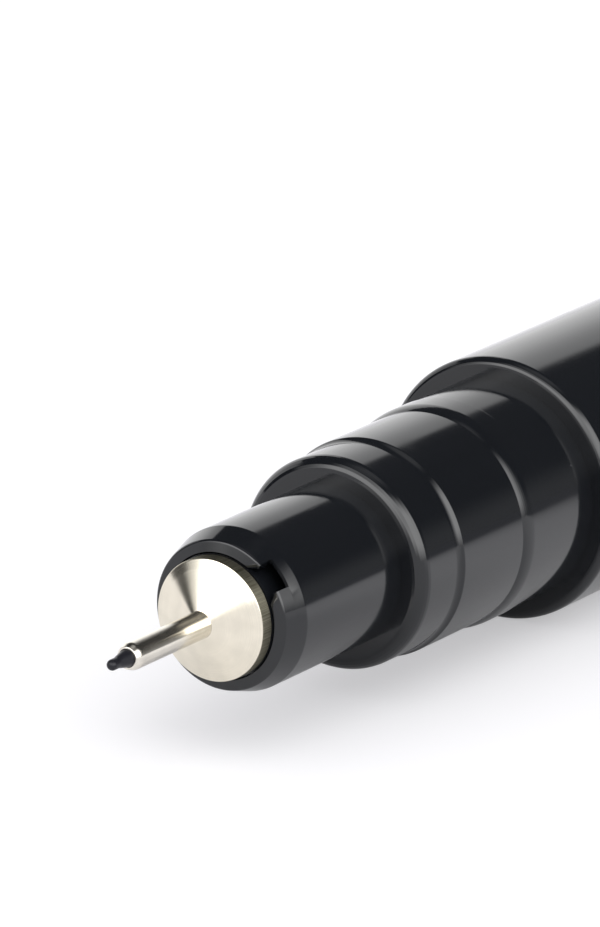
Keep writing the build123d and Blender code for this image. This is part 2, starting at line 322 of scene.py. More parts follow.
class EffectGroups:
    """Builds each shared effect once, as a node group with named inputs and outputs."""

    def __init__(self) -> None:
        """Starts with no group built."""
        self.built: dict[Effect, Tree] = {}

    def place(self, graph: Graph, effect: Effect, inputs: dict) -> Sockets:
        """Places an effect in a tree.

        Args:
            graph: tree to place it in.
            effect: which effect.
            inputs: values or sockets for its inputs, by name.

        Returns:
            The outputs that carry the effect, by name.
        """
        if effect not in self.built:
            self.built[effect] = self.group(effect)
        node = graph.add("ShaderNodeGroup", inputs, node_tree=self.built[effect])
        return dict(node.outputs.items())

    def group(self, effect: Effect) -> Tree:
        """Builds the group of an effect.

        Args:
            effect: which effect; the method that draws it has its name.

        Returns:
            The group, whose first input is a place.
        """
        name = effect.name.lower()
        tree = bpy.data.node_groups.new(name, "ShaderNodeTree")
        tree.interface.new_socket("Place", in_out="INPUT", socket_type="NodeSocketVector")
        for given in effect.value:
            tree.interface.new_socket(given, in_out="INPUT", socket_type="NodeSocketFloat")
        graph = Graph(tree)
        results = getattr(self, name)(graph, dict(graph.add("NodeGroupInput").outputs.items()))
        for result in results:
            tree.interface.new_socket(result, in_out="OUTPUT", socket_type="NodeSocketFloat")
        graph.add("NodeGroupOutput", results)
        return tree

    def mould_skin(self, graph: Graph, given: Sockets) -> Sockets:
        """Fine skin that a polished mould leaves: a faint grain over long, shallow flow waves."""
        grain = graph.noise(given["Place"], given["Grain"], detail=3.0)
        flow = graph.noise(graph.stretch(given["Place"], FLOW_STRETCH), given["Flow"], detail=2.0)
        return {"Height": graph.math("MULTIPLY_ADD", grain, GRAIN_SHARE, flow), "Tone": flow}

    def handling(self, graph: Graph, given: Sockets) -> Sockets:
        """Uneven gloss from fingers, hair scratches and a little dust."""
        place = given["Place"]
        smudge = graph.noise(place, given["Scale"], detail=4.0)
        worn = graph.spread(smudge, 0.0, given["Smudge"], *SMUDGE_RANGE)
        hairs = graph.noise(graph.stretch(place, HAIR_STRETCH), HAIR_SCALE, detail=1.0)
        scratch = graph.spread(hairs, 0.0, HAIR_ROUGHNESS, *HAIR_RANGE)
        rough = graph.math("ADD", given["Roughness"], graph.math("ADD", worn, scratch))
        cells = {"Vector": place, "Scale": SPECK_SCALE, "Randomness": 1.0}
        distance = graph.add("ShaderNodeTexVoronoi", cells, feature="F1").outputs["Distance"]
        speck = graph.spread(distance, 1.0, 0.0, *SPECK_RANGE)
        sparse = graph.spread(graph.noise(place, SPARSE_SCALE, detail=1.0), 0.0, 1.0, *SPARSE_RANGE)
        mask = graph.math("MULTIPLY", graph.math("MULTIPLY", speck, sparse), given["Dust"])
        return {"Roughness": rough, "Dust": mask}

    def tool_rings(self, graph: Graph, given: Sockets) -> Sockets:
        """Rings that a lathe tool leaves round the axis, uneven in depth."""
        x, y, z = graph.split(given["Place"])
        radius = graph.math("SQRT", graph.math("MULTIPLY_ADD", y, y, graph.math("MULTIPLY", z, z)))
        feed = graph.math("ADD", radius, x)
        inputs = {"W": feed, "Scale": given["Rings"], "Detail": 3.0, "Roughness": 0.7}
        height = graph.add("ShaderNodeTexNoise", inputs, noise_dimensions="1D").outputs[0]
        patches = graph.noise(given["Place"], RING_PATCHES, detail=3.0)
        return {"Height": height, "Tone": graph.math("MULTIPLY", height, patches), "Radius": radius}

    def drawn_lines(self, graph: Graph, given: Sockets) -> Sockets:
        """Fine lines along the axis, as on drawn tube and brushed strip."""
        lines = graph.noise(graph.stretch(given["Place"], LINE_STRETCH), given["Lines"], detail=3.0)
        patches = graph.noise(given["Place"], LINE_PATCHES, detail=3.0)
        return {"Height": lines, "Tone": graph.math("MULTIPLY", lines, patches)}

    def light_panel(self, graph: Graph, given: Sockets) -> Sockets:
        """One panel of the studio's surround, as seen from the pen: a window in azimuth and elevation."""
        x, y, z = graph.split(given["Place"])
        elevation = graph.math("ARCSINE", z)
        apart = graph.math("SUBTRACT", graph.math("ARCTAN2", y, x), given["Azimuth"])
        aside = graph.math("ABSOLUTE", graph.math("WRAP", apart, math.pi, -math.pi))
        mask = graph.step(aside, 1.0, 0.0, given["Half Width"], given["Edge"])
        for name, first, last in (("Low", 0.0, 1.0), ("High", 1.0, 0.0)):
            side = graph.step(elevation, first, last, given[name], given["Fade"])
            mask = graph.math("MULTIPLY", mask, side)
        return {"Mask": mask}


EFFECTS = EffectGroups()


class Paint(Graph):
    """A new material, with its shader and the place on the surface that its patterns follow."""

    def __init__(self, name: str) -> None:
        """Starts the material with a plain shader."""
        self.material = bpy.data.materials.new(name)
        self.material.use_nodes = True
        super().__init__(self.material.node_tree)
        self.shader = self.tree.nodes["Principled BSDF"]
        self.place = self.add("ShaderNodeTexCoord").outputs["Object"]

    def set(self, inputs: dict) -> None:
        """Feeds the shader's inputs, by name."""
        for name, value in inputs.items():
            self.feed(self.shader.inputs[name], value)

    def effect(self, effect: Effect, **inputs: float) -> Sockets:
        """Places a shared effect on the surface and returns its outputs."""
        return EFFECTS.place(self, effect, {"Place": self.place, **inputs})


# Finishes


@dataclass(frozen=True)
class Finish:
    """A finish on one or more pieces; each kind of finish dresses the shader in its own way.

    A pattern takes the colour and the roughness between two factors, the roughness within a range of the
    pattern, and embosses the surface to a depth in millimetres, of which the relief is the share that shows.
    """

    name: str
    colour: Colour
    roughness: float
    tones: Pair = (1.0, 1.0)
    swing: Pair = (1.0, 1.0)
    swing_range: Pair = (0.0, 1.0)
    depth: float = 0.0
    relief: float = 1.0

    def material(self) -> bpy.types.Material:
        """Returns the finish's material, which is built the first time it is asked for."""
        found = bpy.data.materials.get(self.name)
        if found:
            return found
        paint = Paint(self.name)
        self.dress(paint)
        return paint.material

    def dress(self, paint: Paint) -> None:
        """Joins the finish's patterns to the shader's inputs; each kind of finish has its own."""
        raise NotImplementedError

    def shade(self, factor: float) -> tuple[float, float, float, float]:
        """Returns the finish's colour made lighter or darker, as a node takes it."""
        red, green, blue = (min(1.0, part * factor) for part in self.colour)
        return red, green, blue, 1.0

    def toned(self, paint: Paint, pattern: Socket) -> Socket:
        """Returns the finish's colour as a pattern varies it."""
        dark, light = self.tones
        return paint.blend(pattern, self.shade(dark), self.shade(light))

    def varied(self, paint: Paint, pattern: Socket) -> Socket:
        """Returns the finish's roughness as a pattern varies it."""
        low, high = (min(1.0, self.roughness * factor) for factor in self.swing)
        return paint.spread(pattern, low, high, *self.swing_range)

    def emboss(self, paint: Paint, pattern: Socket) -> None:
        """Joins a pattern to the shader's normal."""
        inputs = {"Height": pattern, "Strength": self.relief, "Distance": self.depth * MM}
        paint.set({"Normal": paint.add("ShaderNodeBump", inputs).outputs["Normal"]})


@dataclass(frozen=True)
class MouldedPlastic(Finish):
    """Glossy moulded plastic with a faint skin, smudges and specks of dust."""

    tones: Pair = (0.85, 1.2)
    depth: float = 0.004
    relief: float = 0.25
    grain: float = 5000.0
    flow: float = 420.0
    smudge: float = 0.06
    smudge_scale: float = 300.0
    dust: float = 0.25
    dust_colour: Colour = (0.35, 0.35, 0.36)
    index: float = 1.52

    def dress(self, paint: Paint) -> None:
        """Dark, slightly uneven body colour under a glossy skin."""
        skin = paint.effect(Effect.MOULD_SKIN, Grain=self.grain, Flow=self.flow)
        marks = {"Smudge": self.smudge, "Scale": self.smudge_scale, "Dust": self.dust}
        wear = paint.effect(Effect.HANDLING, Roughness=self.roughness, **marks)
        body = self.toned(paint, skin["Tone"])
        dusty = paint.blend(wear["Dust"], body, (*self.dust_colour, 1.0))
        paint.set({"Base Color": dusty, "Roughness": wear["Roughness"], "IOR": self.index})
        self.emboss(paint, skin["Height"])


@dataclass(frozen=True)
class TurnedMetal(Finish):
    """Bright metal with the rings of a lathe tool, and a rough side outside a radius, streaked along the axis
    and painted dark olive as painted shade and reflection of the dark collar around its recess.
    """

    tones: Pair = (0.9, 1.04)
    swing: Pair = (0.8, 1.25)
    swing_range: Pair = (0.2, 0.8)
    depth: float = 0.0015
    relief: float = 0.35
    anisotropy: float = 0.7
    anisotropy_turn: float = 0.25
    rings: float = 24000.0
    side_radius: float = 2.44
    side_blend: float = 0.02
    side_lines: float = 24000.0
    side_range: Pair = (0.3, 0.7)
    # Painted shade: the side's dark and pale streak colours stand in for the shade of its recess and its
    # reflection of the dark collar.
    side_painted_shade_dark: Colour = (0.102, 0.096, 0.0649)
    side_painted_shade_pale: Colour = (0.255, 0.24, 0.1888)
    side_roughness: float = 0.45

    def dress(self, paint: Paint) -> None:
        """Warm metal whose rings change its tone, gloss and surface; its side is streaked along the axis and
        darkened by painted shade.
        """
        rings = paint.effect(Effect.TOOL_RINGS, Rings=self.rings)
        lines = paint.effect(Effect.DRAWN_LINES, Lines=self.side_lines)
        start = self.side_radius * MM
        side = paint.spread(rings["Radius"], 0.0, 1.0, start, start + self.side_blend * MM)
        bright = self.toned(paint, paint.spread(rings["Tone"], 0.0, 1.0, *SHINE_RANGE))
        streaks = paint.spread(lines["Height"], 0.0, 1.0, *self.side_range)
        # Painted shade: the side's streaked colour is darkened to stand in for the dark collar that the
        # recessed side reflects.
        painted_shade_streaks = paint.blend(streaks, (*self.side_painted_shade_dark, 1.0), (*self.side_painted_shade_pale, 1.0))
        gloss = self.varied(paint, rings["Height"])
        tangent = paint.add("ShaderNodeTangent", direction_type="UV_MAP", uv_map=TURNING_MAP)
        paint.set(
            {
                "Base Color": paint.blend(side, bright, painted_shade_streaks),
                "Roughness": paint.spread(side, gloss, self.side_roughness, 0.0, 1.0),
                "Metallic": 1.0,
                "Anisotropic": self.anisotropy,
                "Anisotropic Rotation": self.anisotropy_turn,
                "Tangent": tangent.outputs[0],
            }
        )
        self.emboss(paint, rings["Height"])


@dataclass(frozen=True)
class DrawnSteel(Finish):
    """Steel, or a shiny film, with fine lines along its length."""

    tones: Pair = (0.86, 1.05)
    swing: Pair = (0.7, 1.3)
    swing_range: Pair = (0.25, 0.75)
    depth: float = 0.0012
    relief: float = 0.3
    lines: float = 14000.0

    def dress(self, paint: Paint) -> None:
        """Bright metal whose drawing lines change its tone, gloss and surface."""
        lines = paint.effect(Effect.DRAWN_LINES, Lines=self.lines)
        colour = self.toned(paint, paint.spread(lines["Tone"], 0.0, 1.0, *SHINE_RANGE))
        gloss = self.varied(paint, lines["Height"])
        paint.set({"Base Color": colour, "Roughness": gloss, "Metallic": 1.0})
        self.emboss(paint, lines["Height"])


@dataclass(frozen=True)
class SatinPlastic(Finish):
    """Soft or ground plastic with a dull, finely grained surface."""

    tones: Pair = (0.8, 1.15)
    swing: Pair = (0.85, 1.15)
    swing_range: Pair = (0.2, 0.8)
    depth: float = 0.006
    relief: float = 0.5
    grain: float = 9000.0
    flow: float = 900.0
    gloss: float = 0.5

    def dress(self, paint: Paint) -> None:
        """Dull body colour with a visible grain."""
        skin = paint.effect(Effect.MOULD_SKIN, Grain=self.grain, Flow=self.flow)
        colour, gloss = self.toned(paint, skin["Tone"]), self.varied(paint, skin["Tone"])
        paint.set({"Base Color": colour, "Roughness": gloss, "Specular IOR Level": self.gloss})
        self.emboss(paint, skin["Height"])


@dataclass(frozen=True)
class BundledFibre(Finish):
    """Fibres that run along the rod."""

    tones: Pair = (0.6, 1.5)
    swing: Pair = (0.9, 1.1)
    depth: float = 0.05
    relief: float = 0.6
    lines: float = 5000.0

    def dress(self, paint: Paint) -> None:
        """Fibre colour broken up along the rod."""
        height = paint.effect(Effect.DRAWN_LINES, Lines=self.lines)["Height"]
        paint.set({"Base Color": self.toned(paint, height), "Roughness": self.varied(paint, height)})
        self.emboss(paint, height)


BLACK_PLASTIC: Colour = (0.0075, 0.0086, 0.0106)
SECTION_FINISH = MouldedPlastic("section_gloss", BLACK_PLASTIC, 0.08)
BARREL_FINISH = MouldedPlastic("barrel_gloss", BLACK_PLASTIC, 0.08)
CAP_FINISH = MouldedPlastic("cap_gloss", BLACK_PLASTIC, 0.08)
HOLDER_FINISH = TurnedMetal("turned_nickel_silver", (0.84, 0.785, 0.665), 0.14)
TUBE_FINISH = DrawnSteel("drawn_tube", (0.82, 0.78, 0.70), 0.2)
CLIP_FINISH = DrawnSteel("brushed_clip", (0.70, 0.70, 0.70), 0.24)
NIB_FINISH = SatinPlastic("ground_nib", (0.014, 0.014, 0.0185), 0.34, gloss=0.25)
SEAL_FINISH = SatinPlastic("soft_seal", (0.80, 0.80, 0.77), 0.5)
FIBRE_FINISH = BundledFibre("ink_fibre", (0.02, 0.02, 0.03), 0.85)
FILM_FINISH = DrawnSteel("sleeve_film", (0.70, 0.72, 0.75), 0.35)


class Piece(NamedTuple):
    """A finished piece: its object, the solid that it stands for, its finish, material slot and body."""

    item: Item
    node: str
    finish: Finish
    slot: str
    body: Body

    def seat(self) -> None:
        """Dresses the piece, hides the solid that it stands for and lets it ride on its body."""
        self.item.data.materials.clear()
        self.item.data.materials.append(self.finish.material())
        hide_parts(self.node)
        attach(self.item, self.body.value)
        LOG.info("%s stands for %s, %d faces", self.item.name, self.node, len(self.item.data.polygons))


# The pen's sub-assemblies


@dataclass
class NibUnit:
    """Nib, its guide tube and the turned holder that carries them."""

    tip_radius: float = 0.22
    tip_round: float = 0.2
    stem: float = 0.5
    taper_round: float = 0.5
    rod_radius: float = 0.36
    point: float = 0.6
    tube_radius: float = 0.55
    tube_proud: float = 0.2
    tube_bore: float = 0.38
    feed_bore: float = 0.45
    tube_lip: float = 0.1
    tube_nose: float = 0.26
    tube_nose_round: float = 0.4
    tube_edge: float = 0.03
    tube_fit: float = 0.003
    tube_depth: float = 3.5
    cone_height: float = 0.7
    slope_share: float = 0.85
    drop_share: float = 0.795
    cone_blend: float = 0.5
    head_length: float = 0.56
    rim_round: float = 0.05
    shank_radius: float = 1.8

    def nib(self) -> Item:
        """Returns the nib: a fine stem with a rounded end, widening to a rod."""
        span = Extent.of("nib")
        guide = Extent.of("nib_tube")
        corners = [
            Corner(span.front, 0),
            Corner(span.front, self.tip_radius, self.tip_round),
            Corner(span.front + self.stem, self.tip_radius, self.taper_round),
            Corner(guide.front - self.tube_proud, self.rod_radius, self.taper_round),
            Corner(guide.back, self.rod_radius),
            Corner(guide.back, span.radius),
            Corner(span.back - self.point, span.radius),
            Corner(span.back, self.tip_radius),
            Corner(span.back, 0),
        ]
        return make_object("fine_nib", turned(corners, closed=False))

    def tube(self) -> Item:
        """Returns the guide tube, drawn in to a round nose at its mouth."""
        span = Extent.of("nib_tube")
        mouth = span.front - self.tube_proud
        corners = [
            Corner(mouth, self.tube_bore),
            Corner(mouth, self.tube_radius - self.tube_lip, self.tube_edge),
            Corner(mouth + self.tube_nose, self.tube_radius, self.tube_nose_round),
            Corner(span.back, self.tube_radius),
            Corner(span.back, self.tube_bore),
        ]
        bm = turned(corners)
        wrap_uv(bm)
        return make_object("guide_tube", bm)

    def holder(self) -> Item:
        """Returns the holder: a shallow cone in two slopes, a plain rim and a shank."""
        span = Extent.of("nib_holder")
        rim = span.front + self.cone_height
        bend = span.front + self.cone_height * self.drop_share
        head_back = rim + self.head_length
        tube_hole = self.tube_radius + self.tube_fit
        corners = [
            Corner(span.front, tube_hole),
            Corner(bend, span.radius * self.slope_share, self.cone_blend),
            Corner(rim, span.radius, self.rim_round),
            Corner(head_back, span.radius),
            Corner(head_back, self.shank_radius),
            Corner(span.back, self.shank_radius),
            Corner(span.back, self.feed_bore),
            Corner(span.front + self.tube_depth, self.feed_bore),
            Corner(span.front + self.tube_depth, tube_hole),
        ]
        bm = turned(corners)
        wrap_uv(bm)
        return make_object("turned_holder", bm)

    def build(self) -> list[Piece]:
        """Returns the three pieces."""
        return [
            Piece(self.nib(), "nib", NIB_FINISH, "nib_plastic", Body.PEN),
            Piece(self.tube(), "nib_tube", TUBE_FINISH, "tube_steel", Body.PEN),
            Piece(self.holder(), "nib_holder", HOLDER_FINISH, "holder_metal", Body.PEN),
        ]


@dataclass
class Nose:
    """Moulded front section: collar with its air slot, neck, drum, cap seat and the spigot in the barrel."""

    collar_wall: float = 0.755
    head_gap: float = 0.1
    chamfer_length: float = 1.15
    chamfer_height: float = 0.31
    face_fall: float = 0.09
    edge_round: float = 0.2
    chamfer_round: float = 0.3
    core_radius: float = 2.5
    neck_length: float = 6.56
    drum_length: float = 2.58
    drum_edge: float = 0.54
    step_height: float = 0.14
    step_ramp: float = 0.21
    step_hollow: float = 0.6
    step_edge: float = 0.12
    land_length: float = 4.46
    seat_height: float = 0.15
    seat_ramp: float = 0.38
    seat_round: float = 1.5
    bead_length: float = 1.7
    bead_drop: float = 0.03
    land_radius: float = 4.5
    wall: float = 0.72
    chamber_inset: float = 1.2
    shank_bore: float = 1.82
    slot_angle: float = 139.8
    slot_half: float = 18.0
    slot_columns: int = 12
    slot_depth: float = 2.1
    slot_skin: float = 0.5
    slot_lip: float = 0.14
    slot_scoop: float = 0.36
    slot_corner: float = 0.32
    lip_steps: int = 5
    lip_loops: tuple[float, ...] = (0.15, 0.1, 0.05, 0.0)

    def __post_init__(self) -> None:
        """Works out the places that the outline and the slot share."""
        span = Extent.of("nib_holder")
        self.span = Extent.of("front_section")
        self.face = self.span.front
        self.bore = span.radius + self.head_gap
        self.neck = self.bore + self.collar_wall
        self.slot_floor = self.face + self.slot_depth
        self.slot_rim = self.neck - self.slot_skin
        self.slot_end = self.slot_rim + self.slot_scoop
        self.face_edge = self.neck - self.chamfer_height
        self.corner_out = self.slot_rim - self.slot_corner
        self.corner_side = math.radians(self.slot_half) - self.slot_corner / self.slot_rim

    def chamfer_at(self, radius: float) -> float:
        """Returns the place along the axis of the chamfer's surface at a radius."""
        share = (radius - self.face_edge) / self.chamfer_height
        return self.face + self.face_fall + (self.chamfer_length - self.face_fall) * share

    def outline(self) -> list[Corner]:
        """Returns the outline, from the collar's bore round the outside and back through the chamber."""
        neck_front = self.face + self.chamfer_length
        drum_front = neck_front + self.neck_length
        land_front = drum_front + self.drum_length
        seat_front = land_front + self.land_length
        bead_back = seat_front + self.bead_length
        seat_back = Extent.of("barrel").front
        drum = self.land_radius - self.step_height
        seated = self.land_radius + self.seat_height
        chamber = self.land_radius - self.wall
        chamber_front = drum_front + self.chamber_inset
        loops = [self.slot_end - fall for fall in self.lip_loops]
        return [
            Corner(self.face, self.bore),
            Corner(self.face + self.face_fall, self.face_edge, self.edge_round),
            *(Corner(self.chamfer_at(radius), radius) for radius in loops),
            Corner(neck_front, self.neck, self.chamfer_round),
            Corner(drum_front, self.neck),
            Corner(drum_front, drum, self.drum_edge),
            Corner(land_front, drum, self.step_hollow),
            Corner(land_front + self.step_ramp, self.land_radius, self.step_edge),
            Corner(seat_front, self.land_radius),
            Corner(seat_front + self.seat_ramp, seated, self.seat_round),
            Corner(bead_back, seated, self.bead_drop),
            Corner(bead_back + self.bead_drop, seated - self.bead_drop, self.bead_drop),
            Corner(seat_back, seated - self.bead_drop),
            Corner(seat_back, self.land_radius),
            Corner(self.span.back, self.land_radius),
            Corner(self.span.back, chamber),
            Corner(chamber_front, chamber),
            Corner(chamber_front, self.shank_bore),
            Corner(self.face, self.shank_bore),
            Corner(self.face, self.core_radius),
            Corner(self.slot_floor, self.core_radius),
            Corner(self.slot_floor, self.bore),
        ]

    def polar(self, place: Vector) -> tuple[float, float]:
        """Returns a point's radius in millimetres and its angle from the slot's middle in radians."""
        angle = math.atan2(place.z, place.y) - math.radians(self.slot_angle)
        return math.hypot(place.y, place.z) / MM, math.atan2(math.sin(angle), math.cos(angle))

    def slot_side(self, radius: float, grow: float) -> float:
        """Returns the slot's half angle in radians at a radius, with the slot grown all round by a margin."""
        rounding = self.slot_corner + grow
        over = max(0.0, radius - self.corner_out)
        return self.corner_side + math.sqrt(max(0.0, rounding**2 - over**2)) / self.slot_rim

    def inwards(self, place: Vector) -> Vector:
        """Returns the direction from a point on the slot's outline square into the slot."""
        radius, angle = self.polar(place)
        over = Vector((radius - self.corner_out, (abs(angle) - self.corner_side) * self.slot_rim))
        if over.y <= 0:
            over = Vector((1, 0))
        elif over.x <= 0:
            over = Vector((0, 1))
        over.normalize()
        inner = Vector((0, -over.x, -math.copysign(over.y, angle)))
        return Matrix.Rotation(math.radians(self.slot_angle) + angle, 3, "X") @ inner

    def spread_columns(self, bm: Mesh, half: float) -> None:
        """Moves the columns beside the slot so that its outline runs along them.

        Args:
            bm: the nose, with the faces over the slot taken out.
            half: angle in radians from the slot's middle to its first column.
        """
        far = 2 * half
        for vert in bm.verts:
            radius, angle = self.polar(vert.co)
            place = vert.co.x / MM
            outside = radius > self.slot_end + TINY or radius < self.core_radius + TINY
            if outside or abs(angle) > far or place > self.slot_floor + TINY:
                continue
            side = self.slot_side(radius, self.slot_lip if place < self.slot_floor - TINY else 0.0)
            size = abs(angle)
            wanted = size / half * side if size < half else side + (size - half) / (far - half) * (far - side)
            turn = Matrix.Rotation(math.copysign(wanted, angle) - angle, 3, "X")
            bmesh.ops.rotate(bm, verts=[vert], cent=ORIGIN, matrix=turn)

    def cut_slot(self, bm: Mesh) -> None:
        """Sinks the air slot into the collar, with rolled lips.

        Args:
            bm: the turned nose, with a column's edge on each side of the slot.
        """
        half = self.slot_columns * math.pi / TURN_STEPS
        over = []
        for face in bm.faces:
            middle = face.calc_center_median()
            radius, angle = self.polar(middle)
            in_reach = self.core_radius + TINY < radius < self.slot_end
            if abs(angle) < half and in_reach and middle.x / MM < self.slot_floor - TINY:
                over.append(face)
        bmesh.ops.delete(bm, geom=over, context="FACES")
        self.spread_columns(bm, half)
        open_edges = [edge for edge in bm.edges if edge.is_boundary]
        chain = [
            edge for edge in open_edges if max(vert.co.x / MM for vert in edge.verts) < self.slot_floor - TINY
        ]
        depth = inset = 0.0
        for step in range(1, self.lip_steps + 1):
            turn = step * math.pi / 2 / self.lip_steps
            reach, fall = self.slot_lip * math.sin(turn), self.slot_lip * (1 - math.cos(turn))
            chain = self.sink(bm, chain, reach - inset, fall - depth)
            inset, depth = reach, fall
        chain = self.sink(bm, chain, 0.0, None)
        floor = {vert for edge in chain for vert in edge.verts}
        rims = {vert for edge in open_edges for vert in edge.verts}
        ends = {vert for vert in rims if abs(vert.co.x / MM - self.slot_floor) < TINY}
        for tip in (vert for vert in floor if sum(vert in edge.verts for edge in chain) == 1):
            near = min(ends, key=lambda vert: (vert.co - tip.co).length)
            near.co = tip.co
        weld(bm)
        bmesh.ops.holes_fill(bm, edges=[edge for edge in bm.edges if edge.is_boundary], sides=0)
        weld(bm)

    def sink(
        self, bm: Mesh, chain: list[bmesh.types.BMEdge], inset: float, depth: float | None
    ) -> list[bmesh.types.BMEdge]:
        """Draws the slot's edge one step further in, by more where it faces the axis.

        Args:
            bm: the nose.
            chain: edges along the slot's outline.
            inset: millimetres towards the slot's middle, at its sides.
            depth: millimetres back along the axis, at its sides, or None for down to the slot's floor.

        Returns:
            The new edges.
        """
        grown = bmesh.ops.extrude_edge_only(bm, edges=chain)["geom"]
        for vert in (item for item in grown if isinstance(item, bmesh.types.BMVert)):
            inner = self.inwards(vert.co)
            facing = max(0.0, -inner.dot(Vector((0, vert.co.y, vert.co.z)).normalized()))
            share = (1 + (self.slot_scoop / self.slot_lip - 1) * facing**2) * MM
            vert.co += inner * inset * share
            vert.co.x = self.slot_floor * MM if depth is None else vert.co.x + depth * share
        return [item for item in grown if isinstance(item, bmesh.types.BMEdge)]

    def build(self) -> list[Piece]:
        """Returns the one moulded piece."""
        bm = turned(self.outline())
        start = math.radians(self.slot_angle) - self.slot_columns * math.pi / TURN_STEPS
        bmesh.ops.rotate(bm, verts=bm.verts, cent=ORIGIN, matrix=Matrix.Rotation(start, 3, "X"))
        self.cut_slot(bm)
        weld(bm)
        piece = make_object("moulded_nose", bm)
        return [Piece(piece, "front_section", SECTION_FINISH, "section_plastic", Body.PEN)]


@dataclass
class Barrel:
    """Outer tube with a flat face at each end, and the plug that closes its tail."""

    shoulder_edge: float = 0.35
    mouth: float = 4.52
    bore: float = 4.3
    section_depth: float = 10.0
    plug_depth: float = 8.0
    seat_length: float = 5.05
    seat_height: float = 0.15
    seat_ramp: float = 0.55
    seat_round: float = 1.4
    land_radius: float = 4.5
    plug_wall: float = 1.1
    plug_edge: float = 0.6
    plug_edge_round: float = 0.25

    def tube(self) -> Item:
        """Returns the outer tube."""
        span = Extent.of("barrel")
        corners = [
            Corner(span.front, span.radius, self.shoulder_edge),
            Corner(span.back, span.radius, self.shoulder_edge),
            Corner(span.back, self.mouth),
            Corner(span.back - self.plug_depth, self.mouth),
            Corner(span.back - self.plug_depth, self.bore),
            Corner(span.front + self.section_depth, self.bore),
            Corner(span.front + self.section_depth, self.mouth),
            Corner(span.front, self.mouth),
        ]
        return make_object("outer_barrel", turned(corners))

    def plug(self) -> Item:
        """Returns the tail plug, with the seat that the posted cap slides on."""
        span = Extent.of("tail_plug")
        seat_front = Extent.of("barrel").back
        seat_back = seat_front + self.seat_length
        seated = self.land_radius + self.seat_height
        inside = self.land_radius - self.plug_wall
        corners = [
            Corner(span.back - self.plug_wall, 0),
            Corner(span.back - self.plug_wall, inside),
            Corner(span.front, inside),
            Corner(span.front, self.land_radius),
            Corner(seat_front, self.land_radius),
            Corner(seat_front, seated),
            Corner(seat_back - self.seat_ramp, seated, self.seat_round),
            Corner(seat_back, self.land_radius),
            Corner(span.back - self.plug_edge, self.land_radius, self.plug_edge_round),
            Corner(span.back, self.land_radius - self.plug_edge, self.plug_edge_round),
            Corner(span.back, 0),
        ]
        return make_object("tail_end", turned(corners, closed=False))

    def build(self) -> list[Piece]:
        """Returns the tube and the plug."""
        return [
            Piece(self.tube(), "barrel", BARREL_FINISH, "barrel_plastic", Body.PEN),
            Piece(self.plug(), "tail_plug", SECTION_FINISH, "section_plastic", Body.PEN),
        ]


